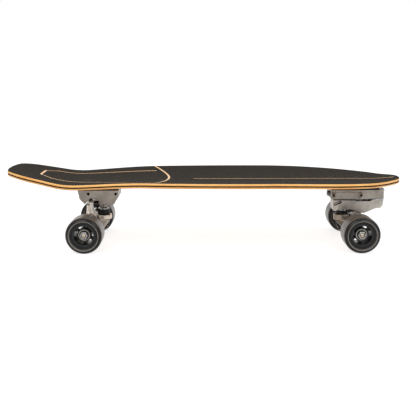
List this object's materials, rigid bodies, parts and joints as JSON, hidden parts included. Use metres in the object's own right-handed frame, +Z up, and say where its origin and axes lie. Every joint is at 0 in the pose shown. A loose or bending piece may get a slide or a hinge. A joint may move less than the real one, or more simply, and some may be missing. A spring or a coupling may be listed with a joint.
{
  "type": "surf skateboard",
  "caption": "Short wide surf skateboard with a kicked tail and a pointed nose, a sprung swing-arm front truck and a plain leaning rear truck on soft wheels.",
  "frame": {"origin": "on the floor under the middle of the deck's length and width", "axes": "+X to the nose, +Y to the rider's left when facing the nose, +Z up"},
  "size_m": [0.78, 0.2522, 0.1538],
  "materials": {
    "grip": "gritty matte",
    "maple": "clear lacquer",
    "dark_ply": "stained, clear lacquer",
    "cast_metal": "satin cast",
    "steel": "zinc plated",
    "black_steel": "black oxide",
    "spring_steel": "oiled",
    "riser_plastic": "matte",
    "urethane_tyre": "satin",
    "wheel_core": "satin",
    "bushing": "satin"
  },
  "bodies": {
    "board": {"deck_top_plies": "maple", "deck_core_ply": "dark_ply", "deck_bottom_plies": "maple", "rear_grip_sheet": "grip", "front_grip_sheet": "grip", "deck_bolt_rear_tailward_right": "black_steel", "deck_bolt_rear_tailward_left": "black_steel", "deck_bolt_rear_noseward_right": "black_steel", "deck_bolt_rear_noseward_left": "black_steel", "deck_bolt_front_tailward_right": "black_steel", "deck_bolt_front_tailward_left": "black_steel", "deck_bolt_front_noseward_right": "black_steel", "deck_bolt_front_noseward_left": "black_steel", "rear_riser_pad": "riser_plastic", "rear_base_plate": "cast_metal", "rear_pivot_cup": "bushing", "rear_kingpin": "steel", "rear_kingpin_nut": "black_steel", "rear_upper_washer": "steel", "rear_lower_washer": "black_steel", "rear_boardside_bushing": "bushing", "rear_roadside_bushing": "bushing", "front_riser_pad": "riser_plastic", "front_spring_housing": "cast_metal", "front_needle_bearing": "steel", "front_thrust_bearing": "steel", "front_return_spring": "spring_steel", "front_spring_adjuster": "spring_steel"},
    "swing_arm": {"front_swing_arm": "cast_metal", "front_arm_post": "steel", "front_retaining_ring": "spring_steel", "front_pivot_cup": "bushing", "front_kingpin": "steel", "front_kingpin_nut": "black_steel", "front_upper_washer": "steel", "front_lower_washer": "black_steel", "front_boardside_bushing": "bushing", "front_roadside_bushing": "bushing"},
    "plunger": {"front_spring_plunger": "steel"},
    "push_rod": {"front_push_rod": "steel"},
    "front_hanger": {"front_hanger": "cast_metal", "front_axle": "steel", "front_left_axle_nut": "steel", "front_right_axle_nut": "steel"},
    "rear_hanger": {"rear_hanger": "cast_metal", "rear_axle": "steel", "rear_left_axle_nut": "steel", "rear_right_axle_nut": "steel"},
    "front_left_wheel": {"front_left_tyre": "urethane_tyre", "front_left_wheel_core": "wheel_core", "front_left_bearings": "steel"},
    "front_right_wheel": {"front_right_tyre": "urethane_tyre", "front_right_wheel_core": "wheel_core", "front_right_bearings": "steel"},
    "rear_left_wheel": {"rear_left_tyre": "urethane_tyre", "rear_left_wheel_core": "wheel_core", "rear_left_bearings": "steel"},
    "rear_right_wheel": {"rear_right_tyre": "urethane_tyre", "rear_right_wheel_core": "wheel_core", "rear_right_bearings": "steel"}
  },
  "joints": [
    {"name": "front_arm_swing", "type": "hinge", "parent": "board", "child": "swing_arm", "pos_m": [0.345, 0, 0.0975], "axis": [0, 0, 1], "range_deg": [-30, 30], "stiffness_Nm_per_rad": 12, "deforming": ["front_return_spring"]},
    {"name": "front_plunger_slide", "type": "slide", "parent": "board", "child": "plunger", "axis": [-1, 0, 0], "range_m": [0, 0.0008], "stiffness_N_per_m": 2000},
    {"name": "front_rod_yaw", "type": "hinge", "parent": "plunger", "child": "push_rod", "pos_m": [0.2934, 0, 0.0975], "axis": [0, 0, 1], "range_deg": [-3, 3]},
    {"name": "front_lean", "type": "hinge", "parent": "swing_arm", "child": "front_hanger", "pos_m": [0.318, 0, 0.071], "axis": [0.8676, 0, 0.4973], "range_deg": [-16, 16], "stiffness_Nm_per_rad": 40, "deforming": ["front_boardside_bushing", "front_roadside_bushing"]},
    {"name": "rear_lean", "type": "hinge", "parent": "board", "child": "rear_hanger", "pos_m": [-0.2385, 0, 0.087], "axis": [-0.6707, 0, 0.7418], "range_deg": [-20, 20], "stiffness_Nm_per_rad": 40, "deforming": ["rear_boardside_bushing", "rear_roadside_bushing"]},
    {"name": "front_left_spin", "type": "hinge", "parent": "front_hanger", "child": "front_left_wheel", "pos_m": [0.297, 0.09, 0.035], "axis": [0, 1, 0], "continuous": true},
    {"name": "front_right_spin", "type": "hinge", "parent": "front_hanger", "child": "front_right_wheel", "pos_m": [0.297, -0.09, 0.035], "axis": [0, 1, 0], "continuous": true},
    {"name": "rear_left_spin", "type": "hinge", "parent": "rear_hanger", "child": "rear_left_wheel", "pos_m": [-0.2305, 0.09, 0.035], "axis": [0, 1, 0], "continuous": true},
    {"name": "rear_right_spin", "type": "hinge", "parent": "rear_hanger", "child": "rear_right_wheel", "pos_m": [-0.2305, -0.09, 0.035], "axis": [0, 1, 0], "continuous": true}
  ],
  "couplings": [
    {"joint": "front_rod_yaw", "follows": "front_arm_swing", "ratio": 0.0947}
  ]
}
